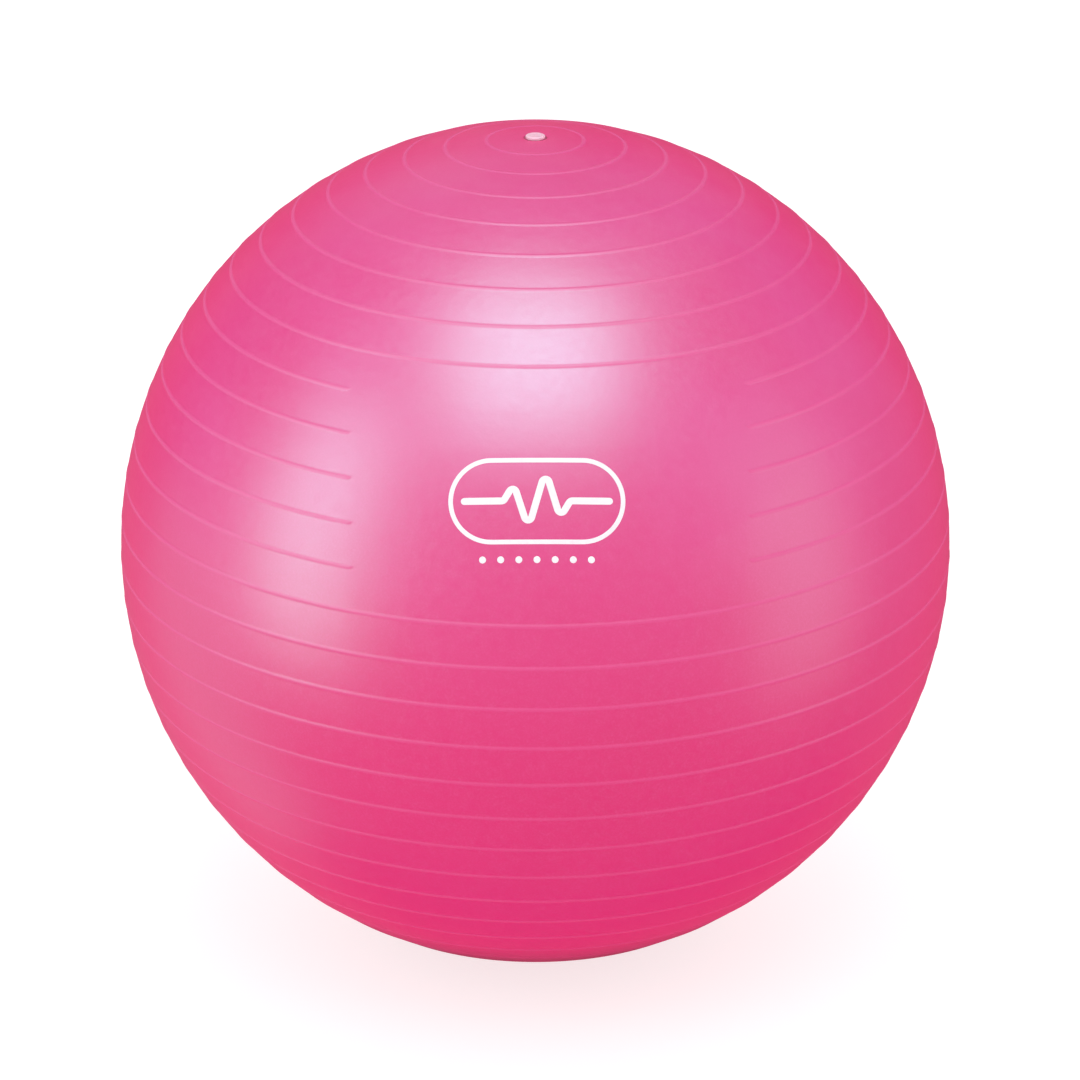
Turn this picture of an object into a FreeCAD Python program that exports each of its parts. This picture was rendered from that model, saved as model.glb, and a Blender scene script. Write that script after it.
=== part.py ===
import FreeCAD
import Part
import math
import os

# An exercise ball, blown up and standing on its bottom pole. +Z is the polar axis, which
# passes through the filling valve at the top. The printed panel faces -Y. The origin is
# where the polar axis meets the floor. Polar angles are measured at the ball's centre,
# down from the top pole, in degrees. All lengths are in millimetres.

# The blown-up skin
equator_diameter = 650.0
height_to_width = 1.0195  # the ball stands a little taller than it is wide
skin_wall = 0.8
foot_sink = 1.2  # how far the ball's own weight presses its foot flat

# The raised ribs, one on the equator and the rest evenly spaced towards both poles
rib_count = 31
rib_pitch = 5.57
rib_width = 3.6
rib_height = 0.7

# The smooth panel at the front, where five ribs are cut short
panel_width = 290.0
panel_first_rib = 9
panel_last_rib = 13

# The filling valve at the top pole
bore_diameter = 9.0
barrel_diameter = 15.0
barrel_length = 20.0
pad_diameter = 18.0
pad_recess = 0.5  # how far the pad lies under the top of the skin
flange_diameter = 36.0
flange_thickness = 1.6

# The stopper
head_diameter = 15.0
head_thickness = 2.4
head_rounding = 0.9
stem_clearance = 0.05  # on the radius, all round the stem
head_clearance = 0.02  # under the head
barb_count = 3
barb_pitch = 4.5
barb_land = 1.6  # the stretch of each barb that has the stem's full width
barb_slope = 0.8  # the height over which a barb narrows to the waist, at either end
stem_waist_diameter = 7.6
nose_length = 3.5
nose_tip_diameter = 5.0

# The printed mark
mark_polar_angle = 62.9
mark_longitude = -2.2  # from the middle of the panel, towards -X
mark_width = 127.0
mark_height = 62.0
mark_stroke = 3.3
pulse_stroke = 5.0
pulse_half_width = 52.0
pulse_heights = [0.0, 0.0, 12.0, -20.0, 22.0, -12.0, 0.0, 0.0]
pulse_places = [-1.0, -0.46, -0.32, -0.12, 0.12, 0.32, 0.46, 1.0]
dot_count = 7
dot_diameter = 5.0
dot_pitch = 13.0
dot_drop = 42.0  # from the middle of the mark down to the row of dots
ink_gap = 0.02
ink_thickness = 0.15

equator_radius = equator_diameter / 2
polar_radius = equator_radius * height_to_width
centre_height = polar_radius - foot_sink
pole_height = centre_height + polar_radius
pad_height = pole_height - pad_recess
barrel_foot = pad_height - barrel_length
origin = FreeCAD.Vector(0, 0, 0)
up = FreeCAD.Vector(0, 0, 1)
left_to_right = FreeCAD.Vector(1, 0, 0)


def point(radius, height):
    """A point of a profile in the half plane that is turned about the polar axis."""
    return FreeCAD.Vector(0, radius, height)


def turned(edges):
    """The solid that a closed profile makes when it is turned about the polar axis."""
    face = Part.Face(Part.Wire(edges))
    return face.revolve(origin, up, 360)


def polygon_edges(points):
    """Straight edges from each point to the next."""
    return [Part.makeLine(start, end) for start, end in zip(points, points[1:])]


def meridian_point(angle, lift=0.0):
    """The skin's outside at a polar angle, lifted along the skin's own normal."""
    along = math.radians(angle)
    reach = math.hypot(math.sin(along) / equator_radius, math.cos(along) / polar_radius)
    radius = math.sin(along) / reach
    height = math.cos(along) / reach
    slope = FreeCAD.Vector(0, radius / equator_radius**2, height / polar_radius**2).normalize()
    return point(radius, centre_height + height) + slope * lift


def meridian_arc(first_angle, last_angle, depth=0.0):
    """The stretch of the half ellipse between two polar angles, some way under the outside."""
    top = FreeCAD.Vector(0, 0, centre_height + polar_radius - depth)
    side = FreeCAD.Vector(0, equator_radius - depth, centre_height)
    ellipse = Part.Ellipse(top, side, FreeCAD.Vector(0, 0, centre_height))
    limits = []
    for angle in (first_angle, last_angle):
        along = math.radians(angle)
        limits.append(math.atan2(polar_radius * math.sin(along), equator_radius * math.cos(along)))
    return Part.ArcOfEllipse(ellipse, limits[0], limits[1]).toShape()


def rib_angle(number):
    """The polar angle of a rib, counted from the top."""
    middle = (rib_count + 1) / 2
    return 90 + (number - middle) * rib_pitch


def rib_arc(angle):
    """The round top of a rib's section, from one edge of the rib over its crest to the other."""
    distance = (meridian_point(angle) - point(0, centre_height)).Length
    half_angle = math.degrees(rib_width / 2 / distance)
    start = meridian_point(angle - half_angle)
    end = meridian_point(angle + half_angle)
    return Part.Arc(start, meridian_point(angle, rib_height), end).toShape(), half_angle


def whole_ribs():
    """The numbers of the ribs that run all the way round."""
    cut_short = range(panel_first_rib, panel_last_rib + 1)
    return [number for number in range(1, rib_count + 1) if number not in cut_short]


def ribbed_outside():
    """The ball's outside with every whole rib, filled solid."""
    edges = []
    reached = 0.0
    for number in whole_ribs():
        angle = rib_angle(number)
        arc, half_angle = rib_arc(angle)
        edges += [meridian_arc(reached, angle - half_angle), arc]
        reached = angle + half_angle
    edges.append(meridian_arc(reached, 180.0))
    edges.append(Part.makeLine(point(0, centre_height - polar_radius), point(0, pole_height)))
    return turned(edges)


def short_rib(number):
    """A rib that stops square at both sides of the panel: a full ring less its front stretch."""
    section_radius = (rib_width**2 / 4 + rib_height**2) / (2 * rib_height)
    middle = meridian_point(rib_angle(number), rib_height - section_radius)
    ring = Part.makeTorus(middle.y, section_radius, FreeCAD.Vector(0, 0, middle.z), up)
    front = Part.makeBox(
        panel_width,
        equator_diameter,
        pole_height,
        FreeCAD.Vector(-panel_width / 2, -equator_diameter, 0),
    )
    return ring.cut(front)


def inside():
    """The air space under the skin, with its foot flat above the flattened foot of the skin."""
    angles = [0.0] + [rib_angle(number) for number in range(1, rib_count + 1)] + [180.0]
    edges = [meridian_arc(start, end, skin_wall) for start, end in zip(angles, angles[1:])]
    edges.append(
        Part.makeLine(
            point(0, centre_height - polar_radius + skin_wall), point(0, pole_height - skin_wall)
        )
    )
    return turned(edges).common(slab(skin_wall, pole_height))


def slab(bottom, top):
    """Everything between two heights, out to well past the ball."""
    side = 2 * equator_diameter
    return Part.makeBox(side, side, top - bottom, FreeCAD.Vector(-side / 2, -side / 2, bottom))


def ball_skin():
    """One hollow moulding with its ribs, a flattened foot and a round hole for the valve."""
    shape = ribbed_outside()
    shape = shape.fuse([short_rib(n) for n in range(panel_first_rib, panel_last_rib + 1)])
    shape = shape.cut(slab(-rib_height - foot_sink, 0)).cut(inside())
    hole = Part.makeCylinder(pad_diameter / 2, pole_height, FreeCAD.Vector(0, 0, centre_height))
    return shape.cut(hole)


def valve_boss():
    """The valve's seat: a flange bonded under the skin, a pad in its hole, and a barrel inside."""
    flange_foot = pole_height - skin_wall - flange_thickness
    flange = Part.makeCylinder(flange_diameter / 2, pole_height, FreeCAD.Vector(0, 0, flange_foot))
    pad = Part.makeCylinder(
        pad_diameter / 2, pad_height - flange_foot, FreeCAD.Vector(0, 0, flange_foot)
    )
    barrel = Part.makeCylinder(
        barrel_diameter / 2, flange_foot - barrel_foot, FreeCAD.Vector(0, 0, barrel_foot)
    )
    bore = Part.makeCylinder(
        bore_diameter / 2, 2 * barrel_length, FreeCAD.Vector(0, 0, barrel_foot - barrel_length / 2)
    )
    return flange.common(inside()).fuse([pad, barrel]).cut(bore).removeSplitter()


def plug():
    """The stopper: a rounded head, a barbed stem that fills the bore, and a tapered nose."""
    stem_radius = bore_diameter / 2 - stem_clearance
    head_radius = head_diameter / 2
    under = pad_height + head_clearance
    crown = under + head_thickness
    bend = head_rounding * (1 - math.sqrt(0.5))
    head_side = polygon_edges([point(0, crown), point(head_radius - head_rounding, crown)])
    head_side.append(
        Part.Arc(
            point(head_radius - head_rounding, crown),
            point(head_radius - bend, crown - bend),
            point(head_radius, crown - head_rounding),
        ).toShape()
    )
    outline = [point(head_radius, crown - head_rounding), point(head_radius, under)]
    outline.append(point(stem_radius, under))
    for barb in range(barb_count):
        top = under - barb * barb_pitch
        foot = top - barb_pitch
        outline += [
            point(stem_radius, top - barb_land),
            point(stem_waist_diameter / 2, top - barb_land - barb_slope),
            point(stem_waist_diameter / 2, foot + barb_slope),
            point(stem_radius, foot),
        ]
    outline += [
        point(stem_radius, barrel_foot),
        point(nose_tip_diameter / 2, barrel_foot - nose_length),
        point(0, barrel_foot - nose_length),
        point(0, crown),
    ]
    return turned(head_side + polygon_edges(outline))


def mark_face(width, height):
    """A flat face with straight sides and half round ends, centred on the mark."""
    radius = height / 2
    straight = width / 2 - radius
    corners = [
        FreeCAD.Vector(-straight, radius, 0),
        FreeCAD.Vector(straight, radius, 0),
        FreeCAD.Vector(straight, -radius, 0),
        FreeCAD.Vector(-straight, -radius, 0),
    ]
    right_end = Part.Arc(corners[1], FreeCAD.Vector(straight + radius, 0, 0), corners[2])
    left_end = Part.Arc(corners[3], FreeCAD.Vector(-straight - radius, 0, 0), corners[0])
    edges = [
        Part.makeLine(corners[0], corners[1]),
        right_end.toShape(),
        Part.makeLine(corners[2], corners[3]),
        left_end.toShape(),
    ]
    return Part.Face(Part.Wire(edges))


def pulse_faces():
    """The strokes and the round corners of a zigzag line like a pulse trace, lying flat."""
    places = [
        FreeCAD.Vector(share * pulse_half_width, height, 0)
        for share, height in zip(pulse_places, pulse_heights)
    ]
    faces = [Part.Face(Part.Wire(Part.makeCircle(pulse_stroke / 2, place))) for place in places]
    for start, end in zip(places, places[1:]):
        run = end - start
        aside = FreeCAD.Vector(-run.y, run.x, 0).normalize() * (pulse_stroke / 2)
        corners = [start + aside, end + aside, end - aside, start - aside, start + aside]
        faces.append(Part.Face(Part.Wire(polygon_edges(corners))))
    return faces


def dot_faces():
    """A short row of round dots under the rest of the mark."""
    first = -(dot_count - 1) / 2 * dot_pitch
    places = [FreeCAD.Vector(first + n * dot_pitch, -dot_drop, 0) for n in range(dot_count)]
    return [Part.Face(Part.Wire(Part.makeCircle(dot_diameter / 2, place))) for place in places]


def ink_layer():
    """A thin shell just outside the skin, as thick as the ink."""
    layers = []
    for lift in (ink_gap, ink_gap + ink_thickness):
        axis = Part.makeLine(
            point(0, centre_height - polar_radius - lift), point(0, pole_height + lift)
        )
        layers.append(turned([meridian_arc(0.0, 180.0, -lift), axis]))
    return layers[1].cut(layers[0])


def ray(face):
    """A flat face of the mark, leant back with the skin, turned to its place and drawn outwards."""
    face.rotate(origin, left_to_right, mark_polar_angle)
    face.translate(FreeCAD.Vector(0, 0, centre_height))
    face.rotate(origin, up, mark_longitude)
    outwards = FreeCAD.Rotation(left_to_right, mark_polar_angle).multVec(up)
    outwards = FreeCAD.Rotation(up, mark_longitude).multVec(outwards)
    return face.extrude(outwards * equator_diameter)


def printed_mark():
    """The ink: a round-ended outline, a pulse line inside it and a row of dots below."""
    rim = ray(mark_face(mark_width, mark_height))
    rim = rim.cut(ray(mark_face(mark_width - 2 * mark_stroke, mark_height - 2 * mark_stroke)))
    strokes = [ray(face) for face in pulse_faces()]
    pulse = strokes[0].fuse(strokes[1:]).removeSplitter()
    shapes = [rim, pulse] + [ray(face) for face in dot_faces()]
    shell = ink_layer()
    return Part.makeCompound([solid for shape in shapes for solid in shell.common(shape).Solids])


def main():
    os.makedirs("parts", exist_ok=True)
    nodes = {
        "ball_skin": ball_skin(),
        "valve_boss": valve_boss(),
        "plug": plug(),
        "printed_mark": printed_mark(),
    }
    for node, shape in nodes.items():
        shape.exportStep("parts/" + node + ".step")
        box = shape.BoundBox
        print(node, len(shape.Solids), "solids", shape.isValid(), round(shape.Volume, 1), box)


main()
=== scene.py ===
import bpy
import math
import numpy as np
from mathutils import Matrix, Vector


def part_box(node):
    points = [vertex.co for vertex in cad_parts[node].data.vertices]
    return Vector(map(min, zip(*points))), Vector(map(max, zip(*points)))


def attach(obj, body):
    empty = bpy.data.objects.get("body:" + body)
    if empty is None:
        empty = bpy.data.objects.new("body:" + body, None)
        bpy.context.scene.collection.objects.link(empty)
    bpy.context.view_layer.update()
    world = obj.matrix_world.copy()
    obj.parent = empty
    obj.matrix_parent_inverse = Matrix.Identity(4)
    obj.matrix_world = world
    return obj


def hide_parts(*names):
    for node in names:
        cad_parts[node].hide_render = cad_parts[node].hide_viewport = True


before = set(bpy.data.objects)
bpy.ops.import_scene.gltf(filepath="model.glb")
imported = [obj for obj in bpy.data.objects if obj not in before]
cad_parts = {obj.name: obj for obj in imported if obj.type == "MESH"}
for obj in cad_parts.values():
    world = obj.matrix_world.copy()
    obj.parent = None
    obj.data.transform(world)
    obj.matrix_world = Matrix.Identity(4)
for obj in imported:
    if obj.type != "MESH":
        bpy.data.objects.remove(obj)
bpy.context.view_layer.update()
print("frame loaded:", ", ".join(sorted(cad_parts)))

mm = 0.001

# The ball's own shape. Its size comes from the frame; the rest is what the moulding adds.
ball = {
    "ribCount": 31,
    "ribPitch": 5.57,          # degrees between ribs, seen from the centre
    "ribHeight": 0.37 * mm,
    "cadRibHeight": 0.7 * mm,  # the CAD ribs are higher; their crest on the equator sets the frame's width
    "ribHalfWidth": 1.9 * mm,
    "ribCrestRounding": 0.18,  # as a share of the half width
    "footSink": 1.2 * mm,      # how deep the floor presses the bottom pole flat
    "footBlend": 0.35 * mm,
    "wall": 0.8 * mm,
    "panelHalfWidth": 145 * mm,
    "panelRibs": (9, 13),      # first and last rib that stop at the panel
    "ribEndSlant": 1.3,
    "ribEndSoftness": 1.6 * mm,
    "holeRadius": 9 * mm,
    "lipRadius": 0.6 * mm,
    "ripple": 0.10 * mm,       # the slow waviness of a blown-up skin
    "columns": 204,
    "frontShare": 0.19,        # of the columns that aren't close to a side, those on the panel
    "sideColumns": (-5, -3.2, -2.2, -1.4, -0.7, 0.0, 0.7, 1.4, 2.2, 3.2, 5),  # about mm in X from a side
    "sideStretch": 1.6,        # about how many panel half widths in X one radian of turn is at a side
    "ribRows": (-1.5, -1.12, -0.95, -0.6, -0.2, 0.0, 0.2, 0.6, 0.95, 1.12, 1.5),  # in half widths
    "rowsPerGap": 2,
    "ribGap": 0.02,            # radians between rows, past which they lie between two ribs
    "insideRows": 56,
    "lipRows": 6,
    "poleGap": 0.012,          # radians from the bottom pole to the first row
    "panelReach": 0.03,        # radians past its first and last rib in which the panel's sides go on
}

skinLow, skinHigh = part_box("ball_skin")
equatorRadius = (skinHigh.x - skinLow.x) / 2 - ball["cadRibHeight"]
rimShare = math.sqrt(1 - (ball["holeRadius"] / equatorRadius) ** 2)
polarRadius = (skinHigh.z + ball["footSink"]) / (1 + rimShare)
centreHeight = polarRadius - ball["footSink"]
ballCentre = Vector((0, 0, centreHeight))


def meridian(polar, lift):
    # half ellipse seen from its centre at the angle polar from the top: 1 / r^2 = (sin / a)^2 + (cos / b)^2,
    # then moved by lift along the ellipse's normal (x / a^2, z / b^2)
    reach = np.hypot(np.sin(polar) / equatorRadius, np.cos(polar) / polarRadius)
    out = np.sin(polar) / reach
    rise = np.cos(polar) / reach
    outSlope = out / equatorRadius ** 2
    riseSlope = rise / polarRadius ** 2
    steep = np.hypot(outSlope, riseSlope)
    return out + lift * outSlope / steep, centreHeight + rise + lift * riseSlope / steep


def around(out, height, turn):
    # out metres from the axis, turned from the front (-Y) towards +X
    return np.stack([out * np.sin(turn), -out * np.cos(turn), height], axis=-1)


def gridFaces(rows, columns, wrapRows=False, first=0):
    # quads between neighbouring rows and columns, the columns closed round the axis
    row = np.arange(rows if wrapRows else rows - 1)[:, None]
    column = np.arange(columns)[None, :]
    nextRow = (row + 1) % rows
    nextColumn = (column + 1) % columns
    corners = (row * columns + column, row * columns + nextColumn,
               nextRow * columns + nextColumn, nextRow * columns + column)
    return np.stack(np.broadcast_arrays(*corners), axis=-1).reshape(-1, 4) + first


def capFaces(rowStart, columns, tip, upwards):
    # a fan of triangles from one row of the grid to a single point
    column = np.arange(columns)
    nextColumn = (column + 1) % columns
    tips = np.full(columns, tip)
    order = (rowStart + column, rowStart + nextColumn, tips)
    if not upwards:
        order = order[::-1]
    return np.stack(order, axis=-1)


def makePiece(name, points, quads, triangles, material, attributes=()):
    mesh = bpy.data.meshes.new(name)
    loops = np.concatenate([quads.ravel(), triangles.ravel()]).astype(np.int32)
    sizes = np.concatenate([np.full(len(quads), 4), np.full(len(triangles), 3)]).astype(np.int32)
    starts = np.concatenate([[0], np.cumsum(sizes)[:-1]]).astype(np.int32)
    mesh.vertices.add(len(points))
    mesh.vertices.foreach_set("co", points.astype(np.float32).ravel())
    mesh.loops.add(len(loops))
    mesh.loops.foreach_set("vertex_index", loops)
    mesh.polygons.add(len(sizes))
    mesh.polygons.foreach_set("loop_start", starts)
    mesh.polygons.foreach_set("loop_total", sizes)
    mesh.update(calc_edges=True)
    mesh.validate()
    mesh.polygons.foreach_set("use_smooth", np.ones(len(sizes), dtype=bool))
    for label, values in attributes:
        layer = mesh.attributes.new(label, "FLOAT", "POINT")
        layer.data.foreach_set("value", values.astype(np.float32).ravel())
    piece = bpy.data.objects.new(name, mesh)
    bpy.context.scene.collection.objects.link(piece)
    mesh.materials.append(material)
    return piece


def turnedPiece(name, profile, columns, material):
    # a closed profile of (out, height) pairs carried round the axis; it starts and ends on the axis
    turn = np.linspace(0, 2 * np.pi, columns, endpoint=False)
    body = profile[1:-1]
    grid = around(body[:, 0:1], body[:, 1:2] + 0 * turn, turn[None, :] + 0 * body[:, 0:1])
    ends = profile[[0, -1]]
    points = np.concatenate([grid.reshape(-1, 3), around(ends[:, 0], ends[:, 1], np.zeros(2))])
    rows = len(body)
    quads = gridFaces(rows, columns)
    triangles = np.concatenate([
        capFaces(0, columns, rows * columns, False),
        capFaces((rows - 1) * columns, columns, rows * columns + 1, True),
    ])
    return makePiece(name, points, quads, triangles, material)


def ringPiece(name, profile, columns, material):
    # a closed profile that stays off the axis, carried round it
    turn = np.linspace(0, 2 * np.pi, columns, endpoint=False)
    grid = around(profile[:, 0:1], profile[:, 1:2] + 0 * turn, turn[None, :] + 0 * profile[:, 0:1])
    quads = gridFaces(len(profile), columns, wrapRows=True)
    return makePiece(name, grid.reshape(-1, 3), quads, np.zeros((0, 3), int), material)


def roundedPath(corners, closed=False, steps=6):
    # straight runs joined by tangent arcs: each corner is (x, y, radius)
    count = len(corners)
    path = []
    for index, (x, y, radius) in enumerate(corners):
        here = np.array([x, y], float)
        isEnd = not closed and index in (0, count - 1)
        if radius == 0 or isEnd:
            path.append(here[None, :])
            continue
        before = np.array(corners[index - 1][:2], float) - here
        after = np.array(corners[(index + 1) % count][:2], float) - here
        before /= np.linalg.norm(before)
        after /= np.linalg.norm(after)
        half = math.acos(max(-1.0, min(1.0, float(before @ after)))) / 2
        reach = radius / math.tan(half)
        middle = here + (before + after) / np.linalg.norm(before + after) * radius / math.sin(half)
        start = here + before * reach - middle
        end = here + after * reach - middle
        share = np.linspace(0, 1, steps + 1)[:, None]
        swing = math.pi - 2 * half
        arc = (np.sin((1 - share) * swing) * start + np.sin(share * swing) * end) / math.sin(swing)
        path.append(middle + arc)
    return np.concatenate(path)


def newMaterial(name):
    material = bpy.data.materials.new(name)
    material.use_nodes = True
    nodes = material.node_tree.nodes
    nodes.clear()
    shader = nodes.new("ShaderNodeBsdfPrincipled")
    output = nodes.new("ShaderNodeOutputMaterial")
    material.node_tree.links.new(shader.outputs["BSDF"], output.inputs["Surface"])
    return material, shader


def addNode(tree, kind, values=None, **settings):
    node = tree.nodes.new(kind)
    for key, value in settings.items():
        setattr(node, key, value)
    for key, value in (values or {}).items():
        if isinstance(value, bpy.types.NodeSocket):
            tree.links.new(value, node.inputs[key])
        else:
            node.inputs[key].default_value = value
    return node


def colour(red, green, blue):
    return (red, green, blue, 1.0)


def mixColour(tree, factor, first, second):
    node = tree.nodes.new("ShaderNodeMix")
    node.data_type = "RGBA"
    node.clamp_result = True
    for socket, value in ((node.inputs[0], factor), (node.inputs[6], first), (node.inputs[7], second)):
        if isinstance(value, bpy.types.NodeSocket):
            tree.links.new(value, socket)
        else:
            socket.default_value = value
    return node.outputs[2]


def noise(tree, place, scale, detail, roughness=0.5):
    return addNode(tree, "ShaderNodeTexNoise", {
        "Vector": place, "Scale": scale, "Detail": detail, "Roughness": roughness,
    }).outputs["Fac"]


def scaled(tree, value, fromLow, fromHigh, toLow, toHigh, smooth=False):
    return addNode(tree, "ShaderNodeMapRange", {
        "Value": value, "From Min": fromLow, "From Max": fromHigh, "To Min": toLow, "To Max": toHigh,
    }, interpolation_type="SMOOTHSTEP" if smooth else "LINEAR").outputs["Result"]


def maths(tree, operation, first, second=0.0, clamp=False):
    node = tree.nodes.new("ShaderNodeMath")
    node.operation = operation
    node.use_clamp = clamp
    for socket, value in ((node.inputs[0], first), (node.inputs[1], second)):
        if isinstance(value, bpy.types.NodeSocket):
            tree.links.new(value, socket)
        else:
            socket.default_value = value
    return node.outputs[0]


def startGroup(name, inputs, outputs):
    group = bpy.data.node_groups.new(name, "ShaderNodeTree")
    for label, kind, value in inputs:
        socket = group.interface.new_socket(name=label, in_out="INPUT", socket_type=kind)
        if value is not None:
            socket.default_value = value
    for label, kind in outputs:
        group.interface.new_socket(name=label, in_out="OUTPUT", socket_type=kind)
    return group, group.nodes.new("NodeGroupInput"), group.nodes.new("NodeGroupOutput")


def placeGroup(tree, group, **values):
    node = tree.nodes.new("ShaderNodeGroup")
    node.node_tree = group
    for key, value in values.items():
        socket = node.inputs[key]
        if isinstance(value, bpy.types.NodeSocket):
            tree.links.new(value, socket)
        else:
            socket.default_value = value
    return node


def mouldedGrainGroup():
    # fine grain and a slower orange peel, as a height in metres and a 0 to 1 speckle
    group, given, result = startGroup("mouldedGrain", [
        ("Place", "NodeSocketVector", None),
        ("GrainScale", "NodeSocketFloat", 1400.0),
        ("GrainDepth", "NodeSocketFloat", 0.00001),
        ("PeelScale", "NodeSocketFloat", 220.0),
        ("PeelDepth", "NodeSocketFloat", 0.00002),
    ], [("Height", "NodeSocketFloat"), ("Speckle", "NodeSocketFloat")])
    place = given.outputs["Place"]
    grain = noise(group, place, given.outputs["GrainScale"], 2.0, 0.6)
    peel = noise(group, place, given.outputs["PeelScale"], 1.0, 0.45)
    fine = maths(group, "MULTIPLY", grain, given.outputs["GrainDepth"])
    slow = maths(group, "MULTIPLY", peel, given.outputs["PeelDepth"])
    group.links.new(maths(group, "ADD", fine, slow), result.inputs["Height"])
    group.links.new(grain, result.inputs["Speckle"])
    return group


def settledDustGroup():
    # dust that gathers on faces that look up and in patches, as a 0 to 1 mask
    group, given, result = startGroup("settledDust", [
        ("Place", "NodeSocketVector", None),
        ("PatchScale", "NodeSocketFloat", 9.0),
        ("Amount", "NodeSocketFloat", 0.3),
    ], [("Mask", "NodeSocketFloat")])
    patches = noise(group, given.outputs["Place"], given.outputs["PatchScale"], 5.0, 0.65)
    specks = noise(group, given.outputs["Place"], 700.0, 2.0)
    normal = addNode(group, "ShaderNodeNewGeometry").outputs["Normal"]
    facing = addNode(group, "ShaderNodeSeparateXYZ", {"Vector": normal})
    upward = scaled(group, facing.outputs["Z"], 0.1, 1.0, 0.15, 1.0, smooth=True)
    cloudy = scaled(group, patches, 0.42, 0.72, 0.0, 1.0, smooth=True)
    speckled = scaled(group, specks, 0.45, 0.7, 0.4, 1.0)
    mask = maths(group, "MULTIPLY", maths(group, "MULTIPLY", upward, cloudy), speckled)
    settled = maths(group, "MULTIPLY", mask, given.outputs["Amount"], clamp=True)
    group.links.new(settled, result.inputs["Mask"])
    return group


mouldedGrain = mouldedGrainGroup()
settledDust = settledDustGroup()


def objectPlace(tree):
    return addNode(tree, "ShaderNodeTexCoord").outputs["Object"]


def addGrainBump(tree, shader, grain):
    # the grain's height is in metres, so the bump takes it as it is
    height = grain.outputs["Height"]
    bump = addNode(tree, "ShaderNodeBump", {"Height": height, "Strength": 1.0, "Distance": 1.0})
    tree.links.new(bump.outputs["Normal"], shader.inputs["Normal"])


def addGrainGloss(tree, shader, grain, finish):
    # the roughness goes a little under and over its middle value with the grain's speckle
    middle = finish["roughness"]
    gloss = scaled(tree, grain.outputs["Speckle"], 0.3, 0.7, middle - 0.05, middle + finish["rougher"])
    tree.links.new(gloss, shader.inputs["Roughness"])


pinkSkin = {
    "base": colour(0.81, 0.005, 0.168),
    "deep": colour(0.78, 0.004, 0.146),
    "paintedTopSheen": colour(0.81, 0.060, 0.285),  # a painted sheen: the colour turns lighter and cooler towards the top, where the light falls
    "paintedTopSheenFrom": 0.26,
    "paintedTopSheenTo": 0.56,
    "edge": colour(1.00, 0.004, 0.172),  # painted light at the rim: the colour where the skin turns away from the eye
    "paintedRimFrom": 0.42,
    "pearl": colour(0.92, 0.090, 0.380),
    "pearlAmount": 0.22,
    "roughness": 0.40,
    # a lighter, cooler colour on the rib crests: a painted highlight, stronger towards the top
    "rib": colour(0.85, 0.024, 0.250),
    "ribRoughness": 0.15,      # added on the crest of a rib
    "ribPaintedHighlight": 0.60,          # how far a rib in the upper half takes that colour, a painted highlight on its crest
    "lowRibPaintedHighlight": 0.12,       # and one near the foot
    "ribPaintedHighlightFrom": 0.10,
    "ribPaintedHighlightTo": 0.50,
    "slantRoughness": 0.12,    # added where the skin turns away from the eye
    "slantFrom": 0.5,
    "slantTo": 0.95,
    "foot": colour(0.54, 0.003, 0.095),  # painted shade where the ball stands on the floor, darker towards the bottom
    "footShadeTop": 0.09,
    "footShadeBottom": 0.02,
    "specular": 1.0,
    "dust": 0.05,
    "dustColour": colour(0.80, 0.62, 0.66),
    "dustRoughness": 0.4,
}


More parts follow.
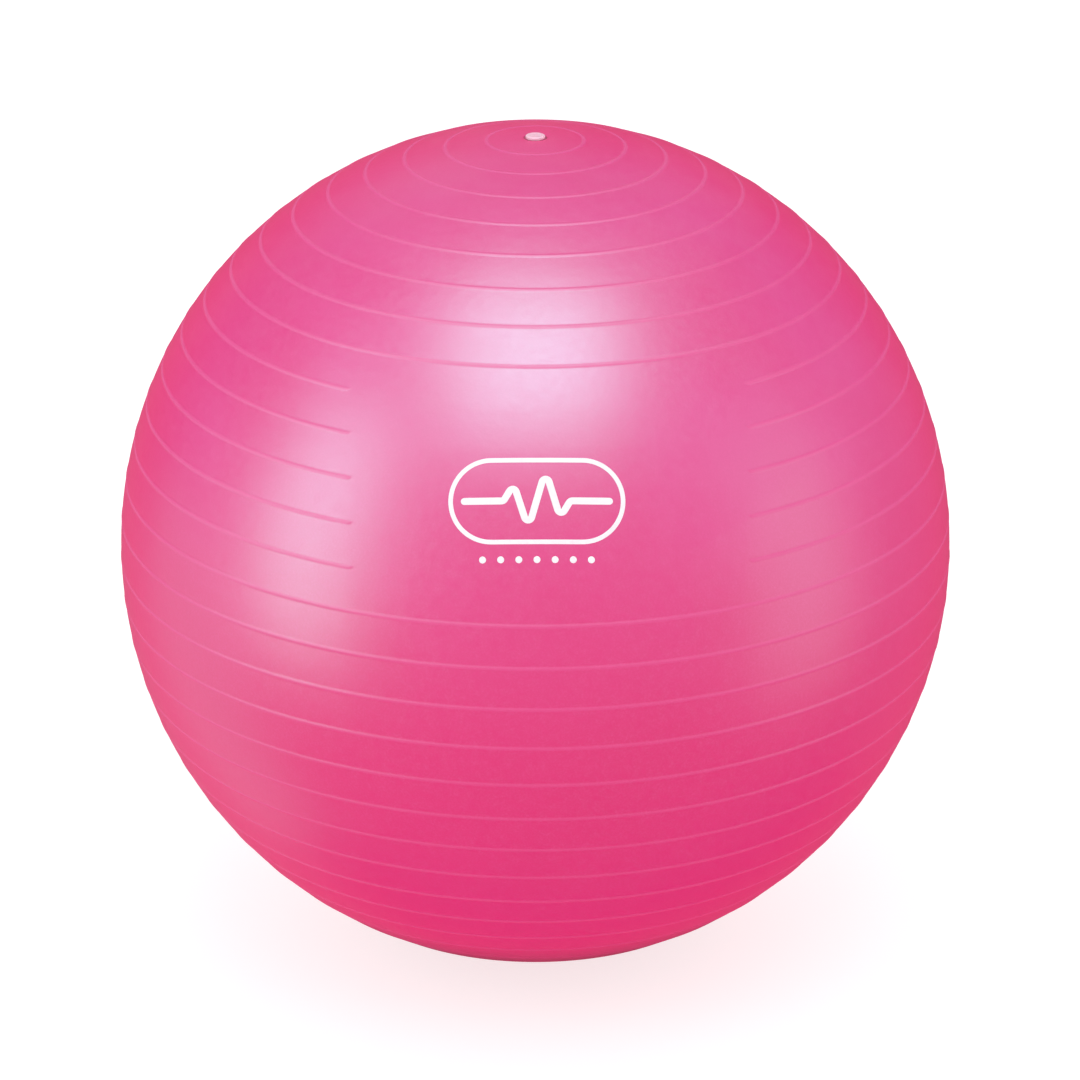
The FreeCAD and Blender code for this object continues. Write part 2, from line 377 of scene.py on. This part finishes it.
def makePinkSkin():
    # pearly soft vinyl: slow mottling of the colour, pearl flecks, orange peel, matter ribs and dust on top,
    # with a painted sheen towards the top, painted light at the rim, painted highlights on the rib crests and
    # painted shade at the foot
    material, shader = newMaterial("pearlPinkVinyl")
    tree = material.node_tree
    place = objectPlace(tree)
    slow = noise(tree, place, 7.0, 3.0)
    cloud = noise(tree, place, 170.0, 4.0, 0.7)
    grain = placeGroup(tree, mouldedGrain, Place=place, GrainScale=620.0, GrainDepth=0.00005,
                       PeelScale=150.0, PeelDepth=0.00009)
    dust = placeGroup(tree, settledDust, Place=place, Amount=pinkSkin["dust"]).outputs["Mask"]
    rib = addNode(tree, "ShaderNodeAttribute", attribute_name="ribCrest").outputs["Fac"]
    crest = scaled(tree, rib, 0.05, 0.45, 0.0, 1.0, smooth=True)
    height = addNode(tree, "ShaderNodeSeparateXYZ", {"Vector": place}).outputs["Z"]
    slant = addNode(tree, "ShaderNodeLayerWeight", {"Blend": 0.5}).outputs["Facing"]

    # painted sheen: the colour turns lighter and cooler towards the top
    paintedSheenShare = scaled(tree, height, pinkSkin["paintedTopSheenFrom"], pinkSkin["paintedTopSheenTo"], 0.0, 1.0, smooth=True)
    ground = mixColour(tree, paintedSheenShare, pinkSkin["base"], pinkSkin["paintedTopSheen"])
    mottled = mixColour(tree, scaled(tree, slow, 0.35, 0.65, 0.0, 0.3), ground, pinkSkin["deep"])
    speckle = scaled(tree, grain.outputs["Speckle"], 0.42, 0.72, 0.0, 1.0)
    fleck = maths(tree, "MULTIPLY", speckle, scaled(tree, cloud, 0.3, 0.7, 0.3, 1.0))
    pearlShare = maths(tree, "MULTIPLY", fleck, pinkSkin["pearlAmount"])
    pearly = mixColour(tree, pearlShare, mottled, pinkSkin["pearl"])
    # painted light at the rim: brighter and redder where the skin turns away from the eye
    rim = scaled(tree, slant, pinkSkin["paintedRimFrom"], 1.0, 0.0, 1.0, smooth=True)
    paintedRimMixed = mixColour(tree, rim, pearly, pinkSkin["edge"])
    # painted highlight on the rib crests, stronger towards the top
    ribPaintedHighlight = scaled(tree, height, pinkSkin["ribPaintedHighlightFrom"], pinkSkin["ribPaintedHighlightTo"],
                      pinkSkin["lowRibPaintedHighlight"], pinkSkin["ribPaintedHighlight"])
    paintedRibHighlight = mixColour(tree, maths(tree, "MULTIPLY", crest, ribPaintedHighlight), paintedRimMixed, pinkSkin["rib"])
    # painted shade: darker towards the foot
    footShadeShare = scaled(tree, height, pinkSkin["footShadeTop"], pinkSkin["footShadeBottom"], 0.0, 1.0, smooth=True)
    footShaded = mixColour(tree, footShadeShare, paintedRibHighlight, pinkSkin["foot"])
    tree.links.new(mixColour(tree, dust, footShaded, pinkSkin["dustColour"]), shader.inputs["Base Color"])

    gloss = scaled(tree, cloud, 0.3, 0.7, pinkSkin["roughness"] - 0.04, pinkSkin["roughness"] + 0.04)
    matter = maths(tree, "ADD", gloss, maths(tree, "MULTIPLY", crest, pinkSkin["ribRoughness"]))
    slanting = scaled(tree, slant, pinkSkin["slantFrom"], pinkSkin["slantTo"],
                      0.0, pinkSkin["slantRoughness"], smooth=True)
    dull = maths(tree, "ADD", matter, slanting)
    dusty = maths(tree, "ADD", dull, maths(tree, "MULTIPLY", dust, pinkSkin["dustRoughness"]), clamp=True)
    tree.links.new(dusty, shader.inputs["Roughness"])
    shader.inputs["Specular IOR Level"].default_value = pinkSkin["specular"]
    addGrainBump(tree, shader, grain)
    return material


whiteInk = {
    "base": colour(0.90, 0.82, 0.86),
    "thin": colour(0.93, 0.62, 0.73),
    "roughness": 0.42,
    "rougher": 0.08,
}


def makeWhiteInk():
    # pad-printed ink: white, a little pink where it lies thin
    material, shader = newMaterial("whiteInk")
    tree = material.node_tree
    place = objectPlace(tree)
    grain = placeGroup(tree, mouldedGrain, Place=place, GrainScale=2200.0, GrainDepth=0.000006,
                       PeelScale=300.0, PeelDepth=0.00001)
    thin = scaled(tree, noise(tree, place, 160.0, 4.0, 0.7), 0.52, 0.78, 0.0, 0.5)
    tree.links.new(mixColour(tree, thin, whiteInk["base"], whiteInk["thin"]), shader.inputs["Base Color"])
    addGrainGloss(tree, shader, grain, whiteInk)
    addGrainBump(tree, shader, grain)
    return material


palePlug = {
    "base": colour(0.96, 0.48, 0.62),
    "worn": colour(0.97, 0.60, 0.72),
    "roughness": 0.38,
    "rougher": 0.1,
    "dust": 0.15,
    "dustColour": colour(0.75, 0.62, 0.62),
    "seeThrough": 0.25,
    "seeThroughDepth": 1.5 * mm,
}


def makePalePlug():
    # soft moulded stopper, paler than the ball, a little see-through
    material, shader = newMaterial("palePinkStopper")
    tree = material.node_tree
    place = objectPlace(tree)
    grain = placeGroup(tree, mouldedGrain, Place=place, GrainScale=2600.0, GrainDepth=0.000008,
                       PeelScale=600.0, PeelDepth=0.000012)
    dust = placeGroup(tree, settledDust, Place=place, PatchScale=120.0, Amount=palePlug["dust"])
    mottle = scaled(tree, noise(tree, place, 260.0, 3.0), 0.35, 0.7, 0.0, 0.6)
    body = mixColour(tree, mottle, palePlug["base"], palePlug["worn"])
    dusty = mixColour(tree, dust.outputs["Mask"], body, palePlug["dustColour"])
    tree.links.new(dusty, shader.inputs["Base Color"])
    addGrainGloss(tree, shader, grain, palePlug)
    addGrainBump(tree, shader, grain)
    shader.inputs["Subsurface Weight"].default_value = palePlug["seeThrough"]
    shader.inputs["Subsurface Scale"].default_value = palePlug["seeThroughDepth"]
    shader.inputs["Subsurface Radius"].default_value = (1.0, 0.5, 0.6)
    return material


valveRubber = {
    "base": colour(0.60, 0.035, 0.150),
    "dark": colour(0.42, 0.020, 0.095),
    "roughness": 0.55,
    "rougher": 0.1,
    "dust": 0.35,
    "dustColour": colour(0.55, 0.42, 0.44),
}


def makeValveRubber():
    # the seat under the plug: duller and deeper pink, with dust in its groove
    material, shader = newMaterial("valveRubber")
    tree = material.node_tree
    place = objectPlace(tree)
    grain = placeGroup(tree, mouldedGrain, Place=place, GrainScale=1800.0, GrainDepth=0.00002,
                       PeelScale=500.0, PeelDepth=0.00002)
    dust = placeGroup(tree, settledDust, Place=place, PatchScale=150.0, Amount=valveRubber["dust"])
    body = mixColour(tree, noise(tree, place, 240.0, 3.0), valveRubber["base"], valveRubber["dark"])
    dusty = mixColour(tree, dust.outputs["Mask"], body, valveRubber["dustColour"])
    tree.links.new(dusty, shader.inputs["Base Color"])
    addGrainGloss(tree, shader, grain, valveRubber)
    addGrainBump(tree, shader, grain)
    return material


skinMaterial = makePinkSkin()
inkMaterial = makeWhiteInk()
plugMaterial = makePalePlug()
valveMaterial = makeValveRubber()
print("materials made")


def ribAngles():
    middle = (ball["ribCount"] + 1) / 2
    numbers = np.arange(1, ball["ribCount"] + 1)
    return np.radians(90 + (numbers - middle) * ball["ribPitch"])


def panelEdgeTurn(polar):
    # the turn at which a ring meets the panel's side, x = panelHalfWidth, held steady past the panel's ribs
    first, last = ball["panelRibs"]
    angles = ribAngles()
    held = np.clip(polar, angles[first - 1] - ball["panelReach"], angles[last - 1] + ball["panelReach"])
    out, _ = meridian(held, 0.0)
    return np.arcsin(ball["panelHalfWidth"] / out)


def skinRipple(polar, turn):
    # a few slow waves, so that the skin isn't a perfect ellipsoid
    waves = (np.sin(3 * turn + 2.1 * np.sin(2 * polar)) * np.sin(5 * polar)
             + 0.7 * np.sin(5 * turn + 1.3) * np.sin(4 * polar + 0.6)
             + 0.5 * np.sin(8 * turn - 0.4) * np.sin(9 * polar + 1.9) * np.sin(polar))
    return ball["ripple"] * waves * np.sin(polar) ** 2


def skinPoint(polar, turn, lift):
    out, height = meridian(polar, lift + skinRipple(polar, turn))
    # the foot: the height can't go under the floor, and leaves it in the soft curve (z + sqrt(z^2 + e^2)) / 2
    height = (height + np.sqrt(height ** 2 + ball["footBlend"] ** 2)) / 2
    return around(out, height, turn)


def softFoot(value, blend=0.12):
    # straight above the blend, nothing below -blend, and (value + blend)^2 / (4 blend) between
    return np.where(value > blend, value, np.clip(value + blend, 0, None) ** 2 / (4 * blend))


def ribLift(polar, turn):
    # each rib is a tent over t = -1 to 1, its crest rounded by sqrt(t^2 + e^2) and its feet by the smooth
    # step; those at the panel fade out at its two sides
    lift = np.zeros_like(polar)
    out, height = meridian(polar, 0.0)
    distance = np.hypot(out, height - centreHeight)
    sideways = np.abs(out * np.sin(turn))
    first, last = ball["panelRibs"]
    rounding = ball["ribCrestRounding"]
    full = math.hypot(1, rounding)
    for number, angle in enumerate(ribAngles(), 1):
        across = (polar - angle) * distance
        tent = full - np.sqrt((across / ball["ribHalfWidth"]) ** 2 + rounding ** 2)
        bell = softFoot(tent / (full - rounding))
        if first <= number <= last:
            end = ball["panelHalfWidth"] + ball["ribEndSlant"] * across
            shown = np.clip((sideways - end) / ball["ribEndSoftness"] + 0.5, 0, 1)
            shown = np.where(np.cos(turn) > 0, shown * shown * (3 - 2 * shown), 1.0)
            bell = bell * shown
        lift += bell
    return lift


def columnTurns(polar):
    # columns stand close together at the panel's two sides and evenly elsewhere
    edge = panelEdgeTurn(polar)[:, None]
    close = np.array(ball["sideColumns"]) * mm / ball["panelHalfWidth"] / ball["sideStretch"]
    spare = ball["columns"] - 2 * len(close)
    front = int(round(spare * ball["frontShare"]))
    back = spare - front
    frontShare = (np.arange(front) + 1) / (front + 1)
    backShare = (np.arange(back) + 1) / (back + 1)
    rightSide = edge + close
    leftSide = 2 * np.pi - edge + close
    backTurns = rightSide[:, -1:] + (leftSide[:, :1] - rightSide[:, -1:]) * backShare
    frontStart = leftSide[:, -1:] - 2 * np.pi
    frontTurns = frontStart + (rightSide[:, :1] - frontStart) * frontShare
    return np.concatenate([frontTurns, rightSide, backTurns, leftSide], axis=1)


def skinRows():
    # polar angles from the foot up to the valve's hole: dense over each rib, a few between
    spread = np.array(ball["ribRows"]) * ball["ribHalfWidth"] / equatorRadius
    ribs = (ribAngles()[:, None] + spread).ravel()
    topPolar = math.asin((ball["holeRadius"] + ball["lipRadius"]) / equatorRadius)
    bounds = np.concatenate([[topPolar], ribs, [np.pi - ball["poleGap"]]])
    gaps = np.flatnonzero(np.diff(bounds) > ball["ribGap"])
    share = (np.arange(ball["rowsPerGap"]) + 1) / (ball["rowsPerGap"] + 1)
    between = bounds[gaps][:, None] + np.diff(bounds)[gaps][:, None] * share
    return np.sort(np.concatenate([bounds, between.ravel()]))[::-1]


def makeBallSkin():
    polar = skinRows()
    turn = columnTurns(polar)
    polarGrid = polar[:, None] + 0 * turn
    crest = ribLift(polarGrid, turn)
    outside = skinPoint(polarGrid, turn, crest * ball["ribHeight"])

    # over the lip of the valve's hole, a quarter circle, and back down the inside
    topTurn = turn[-1:]
    lipAngle = np.linspace(0, 1, ball["lipRows"] + 1)[1:, None] * np.pi * 0.5
    lipOut = ball["holeRadius"] + ball["lipRadius"] * (1 - np.sin(lipAngle)) + 0 * topTurn
    lipHeight = outside[-1:, :, 2] - ball["lipRadius"] * (1 - np.cos(lipAngle))
    lip = around(lipOut, lipHeight, topTurn + 0 * lipAngle)
    insideTop = math.asin(ball["holeRadius"] / equatorRadius)
    insidePolar = np.linspace(insideTop, np.pi - ball["poleGap"], ball["insideRows"])[:, None]
    insideOut, insideHeight = meridian(insidePolar, -ball["wall"])
    insideHeight = np.maximum(insideHeight, ball["wall"])
    insideOut[0] = ball["holeRadius"]
    insideTurn = topTurn + 0 * insidePolar
    inside = around(insideOut + 0 * insideTurn, insideHeight + 0 * insideTurn, insideTurn)

    grid = np.concatenate([outside, lip, inside])
    rows, columns = grid.shape[:2]
    poles = np.array([[0, 0, outside[0, :, 2].min()], [0, 0, ball["wall"]]])
    points = np.concatenate([grid.reshape(-1, 3), poles])
    crests = np.concatenate([crest, np.zeros((rows - len(crest), columns))])
    quads = gridFaces(rows, columns)
    triangles = np.concatenate([
        capFaces(0, columns, rows * columns, False),
        capFaces((rows - 1) * columns, columns, rows * columns + 1, True),
    ])
    crestValues = np.concatenate([crests.ravel(), [0, 0]])
    return makePiece("ballSkin", points, quads, triangles, skinMaterial, [("ribCrest", crestValues)])


ballSkin = makeBallSkin()
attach(ballSkin, "ball")
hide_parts("ball_skin")
print("skin made:", len(ballSkin.data.polygons), "faces")


valve = {
    "columns": 96,
    "flangeThickness": 1.6 * mm,
    "flangeTaper": 0.7,        # the share of its thickness that the flange has at its rim
    "padClearance": 0.05 * mm,
    "barrelRadius": 7.5 * mm,
    "boreRadius": 4.5 * mm,
}


def makeValveBoss():
    low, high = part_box("valve_boss")
    flange = (high.x - low.x) / 2
    pad = ball["holeRadius"] - valve["padClearance"]
    flangeTop, padFoot = meridian(np.arcsin(np.array([flange, pad]) / equatorRadius), -ball["wall"])[1]
    corners = [                # each is (out, height, rounding)
        (valve["boreRadius"], low.z, 0.4 * mm),
        (valve["barrelRadius"], low.z, 0.8 * mm),
        (valve["barrelRadius"], padFoot - valve["flangeThickness"], 0.8 * mm),
        (flange, flangeTop - valve["flangeThickness"] * valve["flangeTaper"], 0.3 * mm),
        (flange, flangeTop, 0.2 * mm),
        (pad, padFoot, 0.0),
        (pad, high.z, 0.15 * mm),
        (valve["boreRadius"], high.z, 0.3 * mm),
    ]
    return ringPiece("valveBoss", roundedPath(corners, closed=True), valve["columns"], valveMaterial)


valveBoss = makeValveBoss()
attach(valveBoss, "ball")
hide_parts("valve_boss")

plug = {
    "columns": 96,
    "headThickness": 2.4 * mm,
    "headRounding": 1.3 * mm,
    "stemRadius": 4.45 * mm,
    "waistRadius": 3.8 * mm,
    "tipRadius": 2.5 * mm,
    "noseLength": 3.5 * mm,
    "barbs": 3,
    "barbPitch": 4.5 * mm,
    "barbLand": 1.6 * mm,
    "barbSlope": 0.8 * mm,
    "dishRadius": 4.6 * mm,    # a shallow dish in the head, with the moulding's gate mark in its middle
    "dishDepth": 0.18 * mm,
    "dishSlope": 0.8 * mm,     # either side of the dish's radius
    "gateRadius": 0.95 * mm,
    "gateSlope": 0.15 * mm,
    "gateHeight": 0.1 * mm,
}


def makePlug():
    low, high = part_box("plug")
    head = (high.x - low.x) / 2
    under = high.z - plug["headThickness"]
    dish = high.z - plug["dishDepth"]
    gate = dish + plug["gateHeight"]
    corners = [(0.0, low.z, 0.0), (plug["tipRadius"], low.z, 0.7 * mm)]
    corners.append((plug["stemRadius"], low.z + plug["noseLength"], 0.3 * mm))
    for barb in reversed(range(plug["barbs"])):
        top = under - barb * plug["barbPitch"]
        foot = top - plug["barbPitch"]
        corners += [
            (plug["stemRadius"], foot, 0.25 * mm),
            (plug["waistRadius"], foot + plug["barbSlope"], 0.25 * mm),
            (plug["waistRadius"], top - plug["barbLand"] - plug["barbSlope"], 0.25 * mm),
            (plug["stemRadius"], top - plug["barbLand"], 0.25 * mm),
        ]
    corners += [
        (plug["stemRadius"], under, 0.0),
        (head, under, 0.25 * mm),
        (head, high.z, plug["headRounding"]),
        (plug["dishRadius"] + plug["dishSlope"], high.z, 0.6 * mm),
        (plug["dishRadius"] - plug["dishSlope"], dish, 0.6 * mm),
        (plug["gateRadius"] + plug["gateSlope"], dish, 0.2 * mm),
        (plug["gateRadius"] - plug["gateSlope"], gate, 0.1 * mm),
        (0.0, gate, 0.0),
    ]
    return turnedPiece("plugStopper", roundedPath(corners), plug["columns"], plugMaterial)


plugStopper = makePlug()
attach(plugStopper, "plug")
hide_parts("plug")
print("valve and plug made")


mark = {
    "polar": math.radians(62.9),
    "turn": math.radians(-2.2),
    "width": 127 * mm,
    "height": 62 * mm,
    "stroke": 3.3 * mm,
    "pulseStroke": 5 * mm,
    "pulse": [(-52, 0), (-23.9, 0), (-16.6, 12), (-6.2, -20), (6.2, 22), (16.6, -12), (23.9, 0), (52, 0)],
    "dots": 7,
    "dotRadius": 2.5 * mm,
    "dotPitch": 13 * mm,
    "dotDrop": 42 * mm,
    "ink": 0.12 * mm,
    "inkFoot": -0.2,           # the ink's underside, as a share of its thickness
    "pulseRounding": 2.6 * mm,
    "pillStep": 1.5 * mm,
    "pulseStep": 0.8 * mm,
    "endRows": 8,
    "dotColumns": 28,
}


def onPanel(sideways, upwards, lift):
    # a flat point of the mark, moved along its middle's outward line to the ellipsoid, then lifted off it
    outward = np.array([math.sin(mark["polar"]) * math.sin(mark["turn"]),
                        -math.sin(mark["polar"]) * math.cos(mark["turn"]), math.cos(mark["polar"])])
    right = np.array([math.cos(mark["turn"]), math.sin(mark["turn"]), 0.0])
    lean = np.cross(outward, right)
    flat = sideways[..., None] * right + upwards[..., None] * lean
    weight = np.array([equatorRadius, equatorRadius, polarRadius]) ** -2.0
    square = (weight * outward * outward).sum()
    cross = (weight * flat * outward).sum(-1)
    rest = (weight * flat * flat).sum(-1) - 1
    travel = (-cross + np.sqrt(cross ** 2 - square * rest)) / square
    spot = flat + travel[..., None] * outward
    normal = spot * weight
    normal /= np.linalg.norm(normal, axis=-1, keepdims=True)
    polar = np.arccos(spot[..., 2] / np.linalg.norm(spot, axis=-1))
    turn = np.arctan2(spot[..., 0], -spot[..., 1])
    return spot + normal * (lift + skinRipple(polar, turn))[..., None] + np.array([0, 0, centreHeight])


def inkStroke(path, width, closed):
    # a flat band of ink along a path: its edges roll down onto the skin, and open ends are round
    if closed:
        along = np.roll(path, -1, axis=0) - np.roll(path, 1, axis=0)
        spread = np.ones(len(path))
    else:
        along = np.gradient(path, axis=0)
        gone = np.concatenate([[0], np.cumsum(np.linalg.norm(np.diff(path, axis=0), axis=1))])
        left = np.minimum(gone, gone[-1] - gone)
        spread = np.sqrt(np.clip(1 - (1 - np.clip(left / (width / 2), 0, 1)) ** 2, 0.0004, 1))
    along /= np.linalg.norm(along, axis=1, keepdims=True)
    aside = np.stack([-along[:, 1], along[:, 0]], axis=1)
    foot = mark["inkFoot"]
    section = np.array([(-1, foot), (-1, 0.55), (-0.94, 0.92), (-0.85, 1), (0, 1), (0.85, 1),
                        (0.94, 0.92), (1, 0.55), (1, foot), (0, foot)])
    offset = section[:, 0][None, :] * spread[:, None] * width / 2
    flat = path[:, None, :] + aside[:, None, :] * offset[..., None]
    lift = section[:, 1][None, :] * mark["ink"] + 0 * offset
    return onPanel(flat[..., 0], flat[..., 1], lift)


def resampled(path, step):
    # even steps along a path
    lengths = np.concatenate([[0], np.cumsum(np.linalg.norm(np.diff(path, axis=0), axis=1))])
    count = int(lengths[-1] / step) + 1
    places = np.linspace(0, lengths[-1], count)
    return np.stack([np.interp(places, lengths, path[:, 0]), np.interp(places, lengths, path[:, 1])], axis=1)


def pillPath():
    # a rectangle with half round ends
    radius = (mark["height"] - mark["stroke"]) / 2
    side = (mark["width"] - mark["stroke"]) / 2
    rounding = radius * 0.999  # a hair less, so that two corners' arcs don't share a point
    places = ((-side, -radius), (side, -radius), (side, radius), (-side, radius))
    corners = [(x, y, rounding) for x, y in places]
    path = roundedPath(corners, closed=True, steps=24)
    return resampled(np.concatenate([path, path[:1]]), mark["pillStep"])[:-1]


def pulsePath():
    corners = [(x * mm, y * mm, mark["pulseRounding"]) for x, y in mark["pulse"]]
    path = resampled(roundedPath(corners, steps=8), mark["pulseStep"])
    half = mark["pulseStroke"] / 2
    # reach half a stroke past both ends, with the samples crowded into the round of each end
    crowd = half * (1 - np.cos(np.linspace(0, np.pi / 2, mark["endRows"] + 1)[:-1]))
    left = np.stack([path[0, 0] - half + crowd, np.full(len(crowd), path[0, 1])], axis=1)
    right = np.stack([path[-1, 0] + half - crowd[::-1], np.full(len(crowd), path[-1, 1])], axis=1)
    return np.concatenate([left, path, right])


def makeMark():
    points, quads, triangles = [], [], []

    def addGrid(grid, closed, tips):
        # one stroke or dot: its grid of quads and, where it isn't closed, a fan at each end round its tip
        first = sum(len(block) for block in points)
        rows, columns = grid.shape[:2]
        quads.append(gridFaces(rows, columns, wrapRows=closed, first=first)[:, ::-1])
        points.append(grid.reshape(-1, 3))
        if not closed:
            points.append(tips)
            end = first + rows * columns
            triangles.append(capFaces(first, columns, end, True))
            triangles.append(capFaces(first + (rows - 1) * columns, columns, end + 1, False))

    strokes = ((pillPath(), mark["stroke"], True), (pulsePath(), mark["pulseStroke"], False))
    for path, width, closed in strokes:
        grid = inkStroke(path, width, closed)
        addGrid(grid, closed, np.stack([grid[0].mean(0), grid[-1].mean(0)]))

    # the dots: a flat disc profile (share of the radius, share of the ink) turned about each dot's middle
    profile = np.array([(0.35, 1), (0.75, 1), (0.92, 0.94), (0.98, 0.6), (1, mark["inkFoot"])])
    turn = np.linspace(0, 2 * np.pi, mark["dotColumns"], endpoint=False)
    reach = profile[:, 0:1] * mark["dotRadius"]
    lift = profile[:, 1:2] * mark["ink"] + 0 * turn
    for place in (np.arange(mark["dots"]) - (mark["dots"] - 1) / 2) * mark["dotPitch"]:
        grid = onPanel(place + reach * np.cos(turn), -mark["dotDrop"] + reach * np.sin(turn), lift)
        tipLift = np.array([1, mark["inkFoot"]]) * mark["ink"]
        addGrid(grid, False, onPanel(np.full(2, place), np.full(2, -mark["dotDrop"]), tipLift))
    allPoints = np.concatenate(points)
    return makePiece("printedMark", allPoints, np.concatenate(quads), np.concatenate(triangles), inkMaterial)


printedMark = makeMark()
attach(printedMark, "ball")
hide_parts("printed_mark")
print("mark made")


studio = {
    "floorSide": 30.0,
    "floorColour": colour(0.42, 0.42, 0.42),
    "floorPatch": colour(0.44, 0.44, 0.44),
    "floorGlow": 0.73,
    "floorGlowColour": colour(1.0, 0.97, 0.97),
    "worldColour": colour(1.0, 1.0, 1.0),
    "worldStrength": 0.88,
    "lampColour": (0.80, 1.0, 1.0),
    "sheenColour": (0.20, 0.97, 0.91),
    # name: turn from the front towards +X, elevation, distance, width, height, watts, and the watts of a
    # second lamp in the same place that only makes the sheen
    "softboxes": {
        "topBox": (-4, 69, 4.0, 2.7, 3.0, 42.0, 225.0),
        "leftBox": (-64, 13, 3.0, 1.3, 3.0, 14.0, 88.0),
        "rightBox": (70, 4, 3.0, 1.6, 3.2, 9.0, 30.0),
        "leftRim": (-106, -28, 3.0, 2.0, 3.0, 3.0, 18.0),
        "rightRim": (116, -14, 3.0, 1.8, 3.0, 2.0, 3.0),
        "backBox": (-165, 38, 4.0, 3.0, 2.4, 4.0, 7.0),
    },
}


def makeFloor():
    side = studio["floorSide"] / 2
    points = np.array([[-side, -side, 0], [side, -side, 0], [side, side, 0], [-side, side, 0]])
    material, shader = newMaterial("paleFloor")
    tree = material.node_tree
    patches = noise(tree, objectPlace(tree), 3.0, 3.0)
    pale = mixColour(tree, patches, studio["floorColour"], studio["floorPatch"])
    tree.links.new(pale, shader.inputs["Base Color"])
    shader.inputs["Roughness"].default_value = 0.8
    shader.inputs["Specular IOR Level"].default_value = 0.0
    shader.inputs["Emission Color"].default_value = studio["floorGlowColour"]
    shader.inputs["Emission Strength"].default_value = studio["floorGlow"]
    floor = makePiece("studioFloor", points, np.array([[0, 1, 2, 3]]), np.zeros((0, 3), int), material)
    floor.visible_glossy = False


def makeLamp(name, turn, elevation, distance, width, height, watts):
    lamp = bpy.data.lights.new(name, "AREA")
    lamp.shape = "RECTANGLE"
    lamp.size = width
    lamp.size_y = height
    lamp.energy = watts
    side, rise = math.radians(turn), math.radians(elevation)
    away = Vector((math.sin(side) * math.cos(rise), -math.cos(side) * math.cos(rise), math.sin(rise)))
    box = bpy.data.objects.new(name, lamp)
    box.location = ballCentre + away * distance
    box.rotation_euler = away.to_track_quat("Z", "Y").to_euler()
    box.visible_camera = False
    bpy.context.scene.collection.objects.link(box)
    return box


def makeSoftbox(name, turn, elevation, distance, width, height, watts, sheenWatts):
    glow = makeLamp(name, turn, elevation, distance, width, height, watts)
    glow.data.color = studio["lampColour"]
    glow.visible_glossy = False
    sheen = makeLamp(name + "Sheen", turn, elevation, distance, width, height, sheenWatts)
    sheen.data.color = studio["sheenColour"]
    sheen.visible_diffuse = False
    sheen.light_linking.blocker_collection = sheenBlockers


def makeWorld():
    world = bpy.data.worlds.new("studioWorld")
    bpy.context.scene.world = world
    world.use_nodes = True
    background = world.node_tree.nodes["Background"]
    background.inputs["Color"].default_value = studio["worldColour"]
    background.inputs["Strength"].default_value = studio["worldStrength"]
    world.cycles_visibility.glossy = False


# the floor doesn't stop the sheen lamps, whose lower parts stand for their own mirror image in a white table
sheenBlockers = bpy.data.collections.new("sheenBlockers")
for blocker in (ballSkin, valveBoss, plugStopper):
    sheenBlockers.objects.link(blocker)

makeFloor()
for boxName, settings in studio["softboxes"].items():
    makeSoftbox(boxName, *settings)
makeWorld()
bpy.context.scene.view_settings.view_transform = "Standard"


viewPoint = {
    "turn": -2.4,         # degrees from the front towards +X
    "elevation": 22.0,
    "distance": 10.91,    # from the ball's centre, in equator radii, as are the next two
    "aimRight": 0.0109,
    "aimUp": 0.0032,
    "lens": 150.0,
}


def makeCamera():
    side, rise = math.radians(viewPoint["turn"]), math.radians(viewPoint["elevation"])
    back = Vector((math.sin(side) * math.cos(rise), -math.cos(side) * math.cos(rise), math.sin(rise)))
    right = Vector((math.cos(side), math.sin(side), 0))
    upward = back.cross(right)
    aim = ballCentre + (right * viewPoint["aimRight"] + upward * viewPoint["aimUp"]) * equatorRadius
    lens = bpy.data.cameras.new("productCamera")
    lens.lens = viewPoint["lens"]
    lens.sensor_width = 36
    camera = bpy.data.objects.new("productCamera", lens)
    camera.location = ballCentre + back * viewPoint["distance"] * equatorRadius
    camera.rotation_euler = (camera.location - aim).to_track_quat("Z", "Y").to_euler()
    lens.clip_end = 60
    bpy.context.scene.collection.objects.link(camera)
    bpy.context.scene.camera = camera


makeCamera()
print("studio and camera made")
